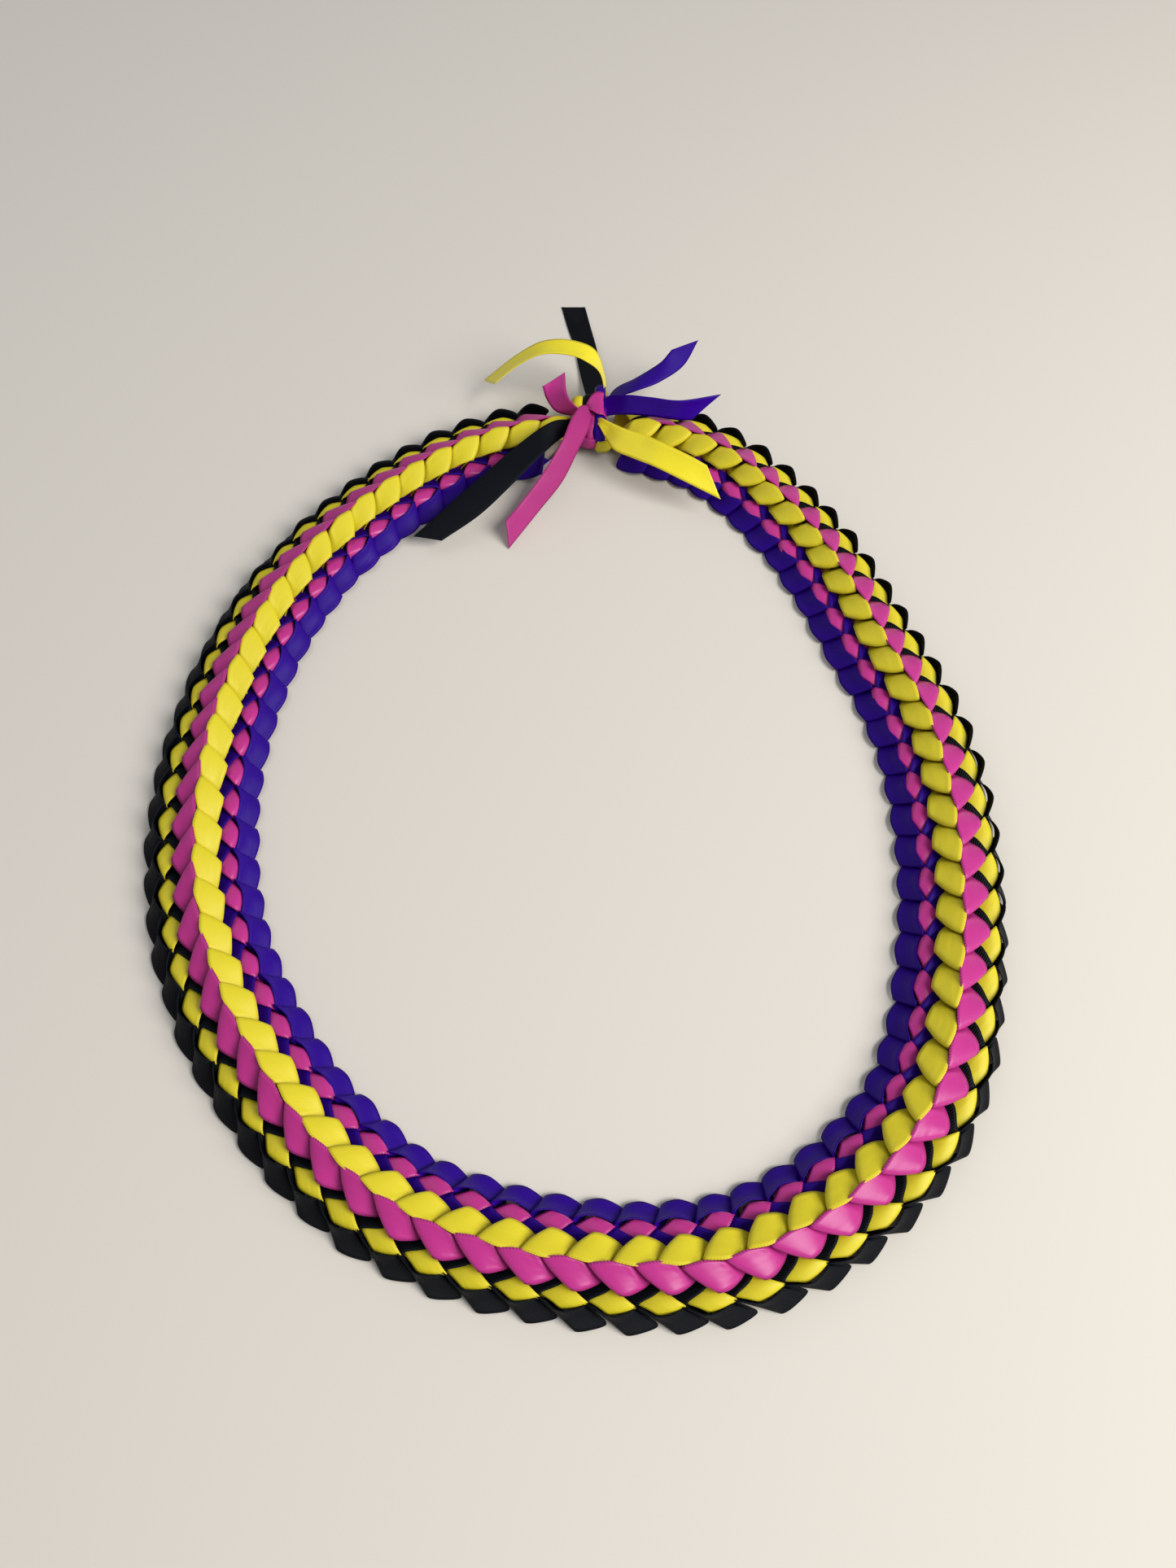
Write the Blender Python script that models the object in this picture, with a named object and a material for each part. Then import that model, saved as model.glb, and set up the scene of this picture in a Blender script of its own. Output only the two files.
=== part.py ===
"""A ribbon lei: four ribbons braided into one closed garland, with their eight ends tied in a knot.

Yellow and black ribbon make one braid, pink and purple its mirror image half a repeat later, and the
two lock together along a ridge. Every repeat of a ribbon is one scallop, which folds over at its
start, runs along the garland and dips under the next fold, and one leg hidden below. The ribbons are
cut into arcs round the hole, so that each solid stays simple.

Frame: millimetres below, metres in the scene. The garland lies on z = 0, with the knot at +Y and its
tails past it, and the origin under the middle of its box. In the braid's own frame, s runs along the
ridge, u outward from it and z up.
"""
import math

import bmesh
import bpy
from mathutils import Vector

MM = 0.001
RIBBON_THICKNESS = 0.6
PITCH = 12.5
REPEATS_ROUND_LOOP = 72
REPEATS_AT_KNOT = 2
ARCS = 7
REPEATS_PER_ARC = 10
CUT_GAP = 0.36
ON_TABLE = RIBBON_THICKNESS / 2
LEVEL_TOLERANCE = 0.01
SHARPEST_MITRE = 1.5

# The ridge of the garland, seen from above, from the knot down the left side and round.
RIDGE_POINTS = [
    (9, 160), (-42, 148), (-84, 114), (-113, 68), (-126, 8), (-120, -52), (-96, -101), (-54, -143),
    (0, -160), (55, -156), (103, -120), (123, -62), (125, 3), (110, 55), (88, 106), (54, 147),
]
RIDGE_SAMPLES_PER_SPAN = 40
# The object's origin among these points: under the middle of its box, on the table.
ORIGIN = Vector((0, 30.1, 0))

# One repeat of the ribbon that scallops beside the ridge: s in repeats, u, z, width, way across.
RIDGE_RIBBON = [
    (-0.47, -3.4, 9.8, 3.6, (5.0, -6.8, -4.0)),       # under leg of the fold
    (-0.42, -3.5, 11.6, 10.0, (5.7, -6.8, -5.6)),     # start of the scallop
    (0.42, -2.9, 8.7, 8.5, (2.6, -7.0, -3.4)),        # end of the scallop, below the next fold
    (1.02, 2.6, 3.8, 4.0, (6.0, -5.0, 0.4)),          # gathered, below the other braid's scallop
    (1.51, 9.9, 5.6, 6.5, (7.0, -5.4, 1.2)),          # tile in the chequered column
    (1.70, 12.2, ON_TABLE, 4.0, (7.0, -1.0, 0.0)),    # turned down inside the edge loop
    (1.62, -4.6, ON_TABLE, 2.6, (7.0, -0.5, 0.0)),    # foot of the climb to the next fold
]

# One repeat of the ribbon that loops at the garland's edge.
EDGE_RIBBON = [
    (0.31, 15.6, ON_TABLE, 4.0, (7.0, 1.0, 0.0)),     # foot of the fold
    (0.32, 15.9, 3.8, 9.8, (5.0, 6.0, -6.2)),         # start of the edge loop
    (0.80, 15.0, 3.6, 8.5, (1.0, 6.0, -5.0)),         # end of the edge loop
    (1.08, 10.0, 6.4, 4.2, (6.0, 5.0, 1.6)),          # tile in the chequered column
    (0.98, 8.2, 3.6, 3.0, (7.0, 1.0, 0.0)),           # turned down under the ridge scallop
    (0.98, 8.2, ON_TABLE, 3.0, (7.0, 0.0, 0.0)),      # start of the way back
]

# The knot: the braid's eight ribbon ends run into it along X in the lower lanes, the eight tails leave
# it from the upper lanes, and the turns hold them together.
KNOT = (9.0, 157.0)
LANE_WIDTH = 6.0
NECK_WIDTH = 4.0
NECK_STATIONS = 2
LANE_LOWEST = 1.9
LANE_STEP = 0.95
LANES = 8
LANE_START = 9.3
LANE_END = 0.25
TURN_CLEARANCE = 0.45

# Each braided ribbon: its points, side of the ridge, shift in repeats, number of repeats, how many
# stations of the last one there are, and its lane.
BRAIDED = {
    "yellow": (RIDGE_RIBBON, 1, 0.0, 70, 3, 3),
    "black": (EDGE_RIBBON, 1, 0.0, 69, 6, 0),
    "pink": (RIDGE_RIBBON, -1, 0.5, 69, 3, 2),
    "purple": (EDGE_RIBBON, -1, 0.5, 69, 3, 1),
}
# The point from which either ribbon runs straight and flat on the table, where an arc may end.
FLAT_RUN_START = 5

COLOURS = {
    "yellow": ((0.72, 0.55, 0.03, 1.0), 0.35),
    "black": ((0.004, 0.006, 0.010, 1.0), 0.75),
    "pink": ((0.56, 0.05, 0.27, 1.0), 0.38),
    "purple": ((0.045, 0.006, 0.22, 1.0), 0.40),
}


def clear_scene():
    for thing in list(bpy.data.objects):
        bpy.data.objects.remove(thing, do_unlink=True)


def ribbon_material(colour):
    """A Principled material with the ribbon's colour and sheen."""
    base, roughness = COLOURS[colour]
    material = bpy.data.materials.new(f"{colour}_ribbon")
    material.use_nodes = True
    shader = material.node_tree.nodes["Principled BSDF"]
    shader.inputs["Base Color"].default_value = base
    shader.inputs["Roughness"].default_value = roughness
    shader.inputs["Metallic"].default_value = 0.0
    return material


def catmull_rom(before, start, end, after, t):
    """A point on the smooth curve from start to end."""
    return 0.5 * (
        2 * start
        + (end - before) * t
        + (2 * before - 5 * start + 4 * end - after) * t ** 2
        + (3 * start - before - 3 * end + after) * t ** 3
    )


def sample_ridge():
    """The closed ridge as points with the length run so far, scaled to a whole number of repeats."""
    corners = [Vector(point) for point in RIDGE_POINTS]
    count = len(corners)
    points = []
    for index in range(count):
        around = [corners[(index + step) % count] for step in (-1, 0, 1, 2)]
        for sample in range(RIDGE_SAMPLES_PER_SPAN):
            points.append(catmull_rom(*around, sample / RIDGE_SAMPLES_PER_SPAN))
    points.append(points[0].copy())
    lengths = [0.0]
    for first, second in zip(points, points[1:]):
        lengths.append(lengths[-1] + (second - first).length)
    scale = REPEATS_ROUND_LOOP * PITCH / lengths[-1]
    return [point * scale for point in points], [length * scale for length in lengths]


RIDGE, RIDGE_LENGTHS = sample_ridge()


def ridge_at(distance):
    """The ridge's place and way along it, at a distance from the knot."""
    distance = distance % RIDGE_LENGTHS[-1]
    low, high = 0, len(RIDGE_LENGTHS) - 1
    while high - low > 1:
        middle = (low + high) // 2
        if RIDGE_LENGTHS[middle] <= distance:
            low = middle
        else:
            high = middle
    span = RIDGE[high] - RIDGE[low]
    share = (distance - RIDGE_LENGTHS[low]) / (RIDGE_LENGTHS[high] - RIDGE_LENGTHS[low])
    return RIDGE[low] + span * share, span.normalized()


def on_braid(s, u, z):
    """The scene's place, in millimetres, of a point of the braid's own frame."""
    place, along = ridge_at(s)
    outward = Vector((along.y, -along.x))
    flat = place + outward * u
    return Vector((flat.x, flat.y, z))


def braid_station(repeat, point, side, shift):
    """Left and right edge of the ribbon at one point of its repeat."""
    s, u, z, width, across = point
    s_place = (repeat + REPEATS_AT_KNOT / 2 + 0.5 + s + shift) * PITCH
    reach = Vector(across).normalized() * (width / 2)
    left = on_braid(s_place - reach.x, side * (u - reach.y), z - reach.z)
    right = on_braid(s_place + reach.x, side * (u + reach.y), z + reach.z)
    return left, right


def between(first, second, share):
    """A station part of the way from one to the next."""
    return tuple(a.lerp(b, share) for a, b in zip(first, second))


def ribbon_body(name, stations, material):
    """A closed flat band through the stations, each a pair of edge points in millimetres."""
    centres = [(left + right) / 2 for left, right in stations]
    work = bmesh.new()
    rings = []
    for index, (left, right) in enumerate(stations):
        arriving = (centres[index] - centres[max(index - 1, 0)]).normalized()
        leaving = (centres[min(index + 1, len(centres) - 1)] - centres[index]).normalized()
        along = arriving + leaving
        mitre = min(SHARPEST_MITRE, 2 / along.length) if 0 < index < len(centres) - 1 else 1.0
        up = along.cross(right - left).normalized()
        if centres[index].z < ON_TABLE + LEVEL_TOLERANCE:
            up = Vector((0, 0, math.copysign(1, up.z)))
            mitre = 1.0
        up *= RIBBON_THICKNESS / 2 * mitre
        corners = (left - up, right - up, right + up, left + up)
        rings.append([work.verts.new((corner - ORIGIN) * MM) for corner in corners])
    for ring, following in zip(rings, rings[1:]):
        for a, b in ((0, 1), (1, 2), (3, 2), (0, 3)):
            work.faces.new((ring[a], ring[b], following[b]))
            work.faces.new((ring[a], following[b], following[a]))
    work.faces.new(rings[0])
    work.faces.new(rings[-1])
    finish_body(name, work, material)


def finish_body(name, work, material):
    """An object from the closed shape, with its faces pointing out."""
    bmesh.ops.recalc_face_normals(work, faces=work.faces)
    if work.calc_volume(signed=True) < 0:
        bmesh.ops.reverse_faces(work, faces=work.faces)
    mesh = bpy.data.meshes.new(name)
    work.to_mesh(mesh)
    work.free()
    mesh.materials.append(material)
    body = bpy.data.objects.new(name, mesh)
    bpy.context.collection.objects.link(body)


def neck_stations(side, lane):
    """The ribbon's end in its lane, from the middle of the knot outward."""
    stations = []
    for reach in (LANE_END, LANE_START):
        middle = Vector((KNOT[0] + side * reach, KNOT[1], lane_height(lane)))
        half = Vector((0, side * NECK_WIDTH / 2, 0))
        stations.append((middle - half, middle + half))
    return stations


def braided_ribbon(colour, material):
    """All arcs of one ribbon round the hole, from neck to neck, cut where it runs flat."""
    points, side, shift, repeats, last_stations, lane = BRAIDED[colour]
    stations = neck_stations(-1, lane)
    for repeat in range(repeats):
        kept = last_stations if repeat == repeats - 1 else len(points)
        stations += [braid_station(repeat, point, side, shift) for point in points[:kept]]
    stations += neck_stations(1, lane)[::-1]
    stations[1] = untwisted(stations[1], stations[2])
    stations[0] = untwisted(stations[0], stations[1])
    stations[-2] = untwisted(stations[-2], stations[-3])
    stations[-1] = untwisted(stations[-1], stations[-2])
    arc_start = []
    taken = 0
    for arc in range(ARCS - 1):
        whole_repeats = (arc + 1) * REPEATS_PER_ARC - 1
        run = NECK_STATIONS + whole_repeats * len(points) + FLAT_RUN_START
        before_cut, after_cut = cut_ends(stations[run], stations[run + 1])
        arc_stations = arc_start + stations[taken:run + 1] + [before_cut]
        ribbon_body(f"{colour}_arc_{arc + 1}", arc_stations, material)
        arc_start = [after_cut]
        taken = run + 1
    ribbon_body(f"{colour}_arc_{ARCS}", arc_start + stations[taken:], material)


def untwisted(pair, neighbour):
    """The pair of edge points, swapped if the ribbon would make a half turn from its neighbour."""
    if (pair[1] - pair[0]).dot(neighbour[1] - neighbour[0]) < 0:
        return pair[::-1]
    return pair


def cut_ends(first, second):
    """The two ends left by a cut with its small gap halfway along a straight run."""
    run = ((second[0] + second[1]) - (first[0] + first[1])).length / 2
    half_gap = CUT_GAP / 2 / run
    return between(first, second, 0.5 - half_gap), between(first, second, 0.5 + half_gap)


def lane_height(lane):
    return LANE_LOWEST + LANE_STEP * lane


def smooth_points(points, steps):
    """Points of the smooth curve through all the given ones."""
    ends = [points[0] * 2 - points[1]] + points + [points[-1] * 2 - points[-2]]
    result = []
    for index in range(len(points) - 1):
        for step in range(steps):
            result.append(catmull_rom(*ends[index:index + 4], step / steps))
    result.append(points[-1])
    return result


# Each tail: colour, side on which it leaves the knot, front or back half of its lane, the lane, and
# the points of its middle line as x, y, z with the way across it; the last way across is the slant of
# the cut.
TAILS = {
    "black_tail_back": ("black", 1, 1, 4, [
        ((18, 163, 5.5), (0, -5, 0)), ((14, 173, 3.5), (-8, -4, 0)), ((8, 190, 0.9), (-10, -1, 0)),
        ((2, 214, 0.3), (-10, -1, 0)), ((-2, 239, 0.3), (-10, 0, 0)),
    ]),
    "purple_tail_back": ("purple", 1, 1, 6, [
        ((21, 164, 12), (5, -6, 0)), ((30, 174, 15), (6, -7, -2)), ((41, 184, 18), (7, -7, -2)),
        ((51, 196, 21), (-2, -12, 0)),
    ]),
    "purple_tail_right": ("purple", 1, -1, 6, [
        ((22, 157, 15.5), (2, -6, -3)), ((37, 160, 17.5), (1, -9, -3)), ((52, 158, 18), (-11, -12, 0)),
    ]),
    "yellow_tail_front": ("yellow", 1, -1, 4, [
        ((18, 149, 9.0), (-3, -7, -2)), ((31, 137, 17), (-6, -7, -2)), ((43, 128, 18), (-6, -8, -2)),
        ((55, 118, 16), (5, -12, -2)),
    ]),
    "yellow_tail_back": ("yellow", -1, 1, 4, [
        ((0, 165, 11), (4, 4, 4)), ((1, 176, 20), (8, 2, 2)), ((-8, 184, 27), (5, 7, 0)),
        ((-24, 183, 24), (3, 8, 3)), ((-36, 176, 14), (5, 3, 7)),
    ]),
    "pink_tail_back": ("pink", -1, 1, 6, [
        ((-3, 160, 14), (4, 4, 5)), ((-7, 165, 19), (6, 6, 5)), ((-12, 171, 23), (7, 6, 6)),
    ]),
    "black_tail_front": ("black", -1, -1, 4, [
        ((-3, 149, 13), (-4, 6, 0)), ((-13, 141, 18), (-6, 7, 0)), ((-27, 128, 17.5), (-7, 7, 0)),
        ((-42, 113, 14), (-7, 7, 0)), ((-57, 98, 8), (-12, 2, 0)),
    ]),
    "pink_tail_front": ("pink", -1, -1, 6, [
        ((-1, 148, 18), (-6, 3, 0)), ((-9, 136, 21.5), (-9, 4, 1)), ((-18, 117, 13), (-9, 3, 2)),
        ((-26, 98, 4), (-6, 10, 2)),
    ]),
}
TAIL_STEPS = 3
TAIL_EXIT = 6.0
TAIL_ROOT_WIDTH = 2.8


def tail_ribbon(name, colour, side, half, lane, tail_points, material):
    """One tail of a ribbon, from the middle of the knot to its cut end."""
    root_y = KNOT[1] + half * (TAIL_ROOT_WIDTH / 2 + LANE_END)
    places = []
    acrosses = []
    for reach in (LANE_END, TAIL_EXIT):
        places.append(Vector((KNOT[0] + side * reach, root_y, lane_height(lane))))
        acrosses.append(Vector((0, -side * TAIL_ROOT_WIDTH, 0)))
    for place, across in tail_points:
        places.append(Vector(place))
        acrosses.append(Vector(across))
    stations = []
    for place, across in zip(smooth_points(places, TAIL_STEPS), smooth_points(acrosses, TAIL_STEPS)):
        place.z = max(place.z, ON_TABLE)
        stations.append((place - across / 2, place + across / 2))
    del stations[1:TAIL_STEPS]
    ribbon_body(name, stations, material)


# The turns round the knot: colour, place along X and width.
TURNS = {
    "yellow_turn": ("yellow", 4.9, 1.8),
    "pink_turn": ("pink", 9.3, 6.2),
    "purple_turn": ("purple", 13.7, 1.8),
}
TURN_CORNERS = 12
TURN_SQUARENESS = 1.5


def knot_turn(name, place_x, width, material):
    """A closed flat ring round the stack of ribbon ends."""
    half_y = LANE_WIDTH / 2 + TURN_CLEARANCE
    low = LANE_LOWEST - RIBBON_THICKNESS / 2 - TURN_CLEARANCE
    high = lane_height(LANES - 1) + RIBBON_THICKNESS / 2 + TURN_CLEARANCE
    middle = (low + high) / 2
    half_z = (high - low) / 2
    work = bmesh.new()
    rings = []
    for corner in range(TURN_CORNERS):
        angle = 2 * math.pi * (corner + 0.5) / TURN_CORNERS
        ring = []
        for extra, x_side in ((0, -1), (0, 1), (RIBBON_THICKNESS, 1), (RIBBON_THICKNESS, -1)):
            square_y = max(-1.0, min(1.0, TURN_SQUARENESS * math.cos(angle)))
            square_z = max(-1.0, min(1.0, TURN_SQUARENESS * math.sin(angle)))
            y = KNOT[1] + square_y * (half_y + extra)
            z = middle + square_z * (half_z + extra)
            ring.append(work.verts.new((Vector((place_x + x_side * width / 2, y, z)) - ORIGIN) * MM))
        rings.append(ring)
    for ring, following in zip(rings, rings[1:] + rings[:1]):
        for a, b in ((0, 1), (1, 2), (2, 3), (3, 0)):
            work.faces.new((ring[a], ring[b], following[b], following[a]))
    finish_body(name, work, material)


def build():
    clear_scene()
    materials = {colour: ribbon_material(colour) for colour in COLOURS}
    for colour in BRAIDED:
        braided_ribbon(colour, materials[colour])
    for name, (colour, side, half, lane, points) in TAILS.items():
        tail_ribbon(name, colour, side, half, lane, points, materials[colour])
    for name, (colour, place_x, width) in TURNS.items():
        knot_turn(name, place_x, width, materials[colour])


build()
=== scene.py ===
# %% [markdown]
# # A braided ribbon lei
#
# Four ribbons, each 10 mm wide, are braided into one closed garland: yellow, pink and purple satin, and
# black grosgrain. The eight ends are tied in a knot and left as tails. This lesson models each ribbon as a
# maker meets it: a long flat strip, cut to length, which is then laid along its way through the braid.

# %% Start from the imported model
import math
from collections import namedtuple

import bpy
import numpy as np
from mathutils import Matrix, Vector


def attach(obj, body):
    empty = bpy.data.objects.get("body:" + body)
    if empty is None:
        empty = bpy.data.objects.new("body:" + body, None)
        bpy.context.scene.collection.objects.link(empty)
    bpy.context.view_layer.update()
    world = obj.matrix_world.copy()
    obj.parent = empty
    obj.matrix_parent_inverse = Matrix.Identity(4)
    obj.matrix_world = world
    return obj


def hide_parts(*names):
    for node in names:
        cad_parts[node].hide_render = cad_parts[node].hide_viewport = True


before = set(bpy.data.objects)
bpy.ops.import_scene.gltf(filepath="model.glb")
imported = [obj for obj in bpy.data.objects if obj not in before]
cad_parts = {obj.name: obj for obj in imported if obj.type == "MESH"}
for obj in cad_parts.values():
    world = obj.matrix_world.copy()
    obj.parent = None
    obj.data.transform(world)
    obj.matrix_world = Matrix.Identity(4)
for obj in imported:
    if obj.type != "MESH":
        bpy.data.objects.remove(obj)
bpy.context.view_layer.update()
bpy.ops.object.select_all(action="DESELECT")
MM = 0.001
print("packed nodes:", len(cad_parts))

# %% [markdown]
# ## Camera
#
# The lei is photographed from above its near edge: the camera looks steeply down along +Y. The lens matters
# most, because it decides how much the far side shrinks.

# %% Set the camera
CAMERA_PLACE = Vector((4.7, -231.2, 354.2)) * MM
CAMERA_DOWN = math.radians(60.85)
CAMERA_LENS = 27.03
CAMERA_SENSOR = 36

camera_data = bpy.data.cameras.new("camera")
camera_data.sensor_width = CAMERA_SENSOR
camera_data.lens = CAMERA_LENS
camera = bpy.data.objects.new("camera", camera_data)
bpy.context.scene.collection.objects.link(camera)
camera.location = CAMERA_PLACE
camera.rotation_euler = (math.pi / 2 - CAMERA_DOWN, 0, 0)
bpy.context.scene.camera = camera
print("camera looks down by", round(math.degrees(CAMERA_DOWN), 1), "degrees")

# %% [markdown]
# ## The ridge
#
# Everything in the braid is placed from one line, the ridge where the two braids meet. It could be an
# ellipse, but a lei laid down by hand isn't so even. So it is a smooth closed curve through a few points, in
# millimetres, scaled so that exactly 72 repeats go round it.

# %% Draw the ridge
PITCH = 12.5
REPEATS_ROUND_LOOP = 72
RIDGE_LENGTH = REPEATS_ROUND_LOOP * PITCH
SAMPLES_PER_SPAN = 40
RIDGE_POINTS = [
    (9, 160), (-42, 148), (-84, 114), (-113, 68), (-126, 8), (-120, -52), (-96, -101), (-54, -143),
    (0, -160), (55, -156), (103, -120), (123, -62), (125, 3), (110, 55), (88, 106), (54, 147),
]


def closed_curve(corners, steps):
    """Points of the smooth closed curve through the corners."""
    corners = np.array(corners, float)
    t = np.linspace(0, 1, steps, endpoint=False)[:, None]
    spans = []
    for index in range(len(corners)):
        a, b, c, d = (corners[(index + step) % len(corners)] for step in (-1, 0, 1, 2))
        cubic = (2 * b, c - a, 2 * a - 5 * b + 4 * c - d, 3 * b - a - 3 * c + d)
        spans.append(0.5 * sum(part * t**power for power, part in enumerate(cubic)))
    points = np.concatenate(spans)
    return np.concatenate([points, points[:1]])


def distances(points):
    """How far along its line each point lies."""
    return np.concatenate([[0], np.cumsum(np.linalg.norm(np.diff(points, axis=0), axis=1))])


ridge = closed_curve(RIDGE_POINTS, SAMPLES_PER_SPAN)
ridge_run = distances(ridge)
ridge *= RIDGE_LENGTH / ridge_run[-1]
ridge_run *= RIDGE_LENGTH / ridge_run[-1]
ridge_way = np.roll(ridge[:-1], -1, axis=0) - np.roll(ridge[:-1], 1, axis=0)
ridge_way = np.concatenate([ridge_way, ridge_way[:1]])
ridge_way /= np.linalg.norm(ridge_way, axis=1)[:, None]
print("ridge:", round(float(ridge_run[-1])), "mm round")

# %% [markdown]
# ## Places in the braid
#
# A place in the braid is s along the ridge, u outward from it and z up. With such places one repeat can be
# described on its own, as if the braid were straight. The outer half of a hand-made braid isn't equally wide
# all round, so at some repeats the places beyond the ridge move a little in or out.

# %% Find a place of the braid
SPREAD_REPEATS = (0, 8, 20, 36, 52, 64, 72)
SPREAD_PLACES = (2.0, 7.5, 11.0, 18.0)
# How far each of those places moves at those repeats.
SPREADS = (
    (0, 0, 0, 0, 0, 0, 0),
    (0.5, 1.3, 0.7, 0, 1.5, 1.7, 0.5),
    (0, 0.9, 1.4, -1.0, 1.6, 0.9, 0),
    (0, 0.5, 1.5, -1.0, -0.6, -1.0, 0),
)


def in_braid(s, u, z):
    """The place, in millimetres, of a point given along the ridge, outward from it and up."""
    spread = [np.interp(s / PITCH, SPREAD_REPEATS, moves) for moves in SPREADS]
    u += np.interp(u, SPREAD_PLACES, spread)
    s = s % RIDGE_LENGTH
    x, y = (np.interp(s, ridge_run, ridge[:, axis]) for axis in (0, 1))
    along = np.array([np.interp(s, ridge_run, ridge_way[:, axis]) for axis in (0, 1)])
    along /= np.linalg.norm(along)
    return np.array((x + along[1] * u, y - along[0] * u, z))


print("10 mm outward of the ridge's start:", in_braid(0, 10, 0).round(1))

# %% [markdown]
# ## Scallops beside the ridge
#
# A ribbon that scallops beside the ridge comes up from below, folds over on a slant and runs along the
# garland until it dips under the next fold. Each row gives the places of the ribbon's two edges, with s in
# repeats and u and z in millimetres, then how far the cloth between them crowns and bows, and how many steps
# lead on to the next row.

# %% Rows of a scallop
YELLOW_SCALLOP = [
    ((-0.42, -0.5, 11.8), (0.04, -6.0, 7.8), 0.0, -0.8, 3),    # under layer of the fold
    ((-0.58, -0.5, 12.9), (-0.06, -7.6, 8.8), 0.0, -1.2, 3),   # the crease
    ((-0.54, -0.4, 13.6), (-0.01, -7.9, 9.8), 0.1, -1.2, 4),   # start of the scallop
    ((-0.33, 0.1, 14.0), (0.16, -7.8, 9.8), 0.2, -0.7, 4),
    ((-0.10, 0.5, 14.0), (0.34, -7.2, 9.3), 0.2, -0.3, 4),     # its crown
    ((0.14, 0.2, 13.4), (0.49, -6.5, 8.4), 0.2, 0.0, 4),
    ((0.36, -0.2, 12.4), (0.62, -5.6, 7.3), 0.2, 0.0, 4),      # its end, below the next fold
]
# The same rows for pink, whose second edge lies further along, so that its folds slant more.
PINK_SCALLOP = [
    ((-0.46, -0.5, 11.8), (0.22, -5.7, 7.4), 0.0, -0.8, 3),
    ((-0.60, -0.5, 12.9), (0.12, -7.2, 8.6), 0.0, -1.2, 3),
    ((-0.56, -0.4, 13.6), (0.18, -7.5, 9.5), 0.1, -1.2, 4),
    ((-0.35, 0.1, 14.0), (0.33, -7.3, 9.4), 0.2, -0.7, 4),
    ((-0.12, 0.5, 14.0), (0.46, -6.6, 8.9), 0.2, -0.3, 4),
    ((0.12, 0.2, 13.4), (0.57, -5.8, 8.2), 0.2, 0.0, 4),
    ((0.34, -0.2, 12.4), (0.68, -4.9, 7.2), 0.2, 0.0, 4),
]
print("rows of a scallop:", len(YELLOW_SCALLOP))

# %% [markdown]
# ## Below the other braid and back
#
# From its scallop the ribbon crosses the ridge underneath. It shows once more as a light tile in the
# chequered column on the other side, rolls down inside the edge loop and goes back along the floor.

# %% Rows below the other braid
BELOW_OTHER_BRAID = [
    ((0.60, 4.6, 4.2), (1.22, 0.9, 4.4), 0.0, 0.0, 4),         # below the other braid's scallop
    ((0.98, 9.4, 5.4), (1.64, 6.6, 7.4), 0.4, 0.0, 4),
    ((1.20, 11.2, 6.2), (1.80, 8.4, 7.8), 0.4, 0.0, 4),        # tile in the chequered column
    ((1.38, 12.6, 6.0), (1.96, 10.2, 6.8), 0.4, 0.3, 4),       # its rolled edge
    ((1.41, 12.9, 3.6), (2.00, 10.6, 4.5), 0.2, 0.0, 3),       # turned down inside the edge loop
    ((1.34, 11.8, 0.5), (2.04, 10.6, 0.5), 0.0, 0.0, 3),       # start of the way back
    ((1.24, -4.2, 0.5), (1.96, -4.9, 0.5), 0.0, 0.0, 3),       # foot of the climb to the next fold
    ((0.84, -2.2, 5.0), (1.48, -5.2, 3.6), 0.0, 0.0, 3),
]
print("rows below the other braid:", len(BELOW_OTHER_BRAID))

# %% [markdown]
# ## Loops at the garland's edges
#
# The black ribbon makes the loops of the outer edge and the purple one those of the inner edge. A loop
# starts from a slanted crease that nearly touches the floor, bulges out and up, and ends below the next
# loop. The stiff black ribbon stands up more than the soft purple one, so each has rows of its own.

# %% Rows of an edge loop
BLACK_LOOP = [
    ((-0.24, 9.2, 0.5), (0.50, 12.6, 0.5), 0.0, 0.0, 3),       # foot of the fold
    ((0.02, 10.4, 5.0), (0.82, 15.4, 0.6), 0.0, -0.2, 3),      # its under layer
    ((-0.06, 10.7, 6.6), (0.74, 17.0, 0.7), 0.0, -0.6, 3),     # the crease
    ((-0.02, 11.1, 7.8), (0.79, 17.5, 1.2), 0.3, -0.5, 5),     # start of the edge loop
    ((0.42, 13.5, 7.8), (1.04, 16.9, 0.9), 0.5, -0.2, 6),      # its crown
    ((0.90, 11.1, 6.2), (1.40, 14.8, 0.6), 0.5, 0.0, 4),       # its end, below the next loop
]
PURPLE_LOOP = [
    ((-0.24, 9.2, 0.5), (0.24, 13.4, 0.5), 0.0, 0.0, 3),
    ((0.02, 10.4, 5.0), (0.30, 15.4, 0.7), 0.0, -0.2, 3),
    ((-0.06, 10.8, 6.6), (0.17, 16.7, 1.0), 0.0, -0.6, 3),
    ((-0.02, 11.2, 7.8), (0.23, 17.4, 1.5), 0.3, -0.6, 5),
    ((0.42, 12.9, 7.2), (0.66, 18.3, 1.5), 0.8, 0.0, 6),
    ((0.92, 10.7, 5.2), (1.28, 15.0, 0.6), 0.4, 0.0, 4),
]
print("rows of an edge loop:", len(BLACK_LOOP))

# %% [markdown]
# ## From a loop back to the ridge
#
# From its loop the ribbon turns inward under the light tiles, shows as a dark tile between two of them, and
# goes down under the ridge scallop. Then it runs back along the floor. Black and purple do the same, each on
# its own side of the ridge, so their rows differ only a little.

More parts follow.
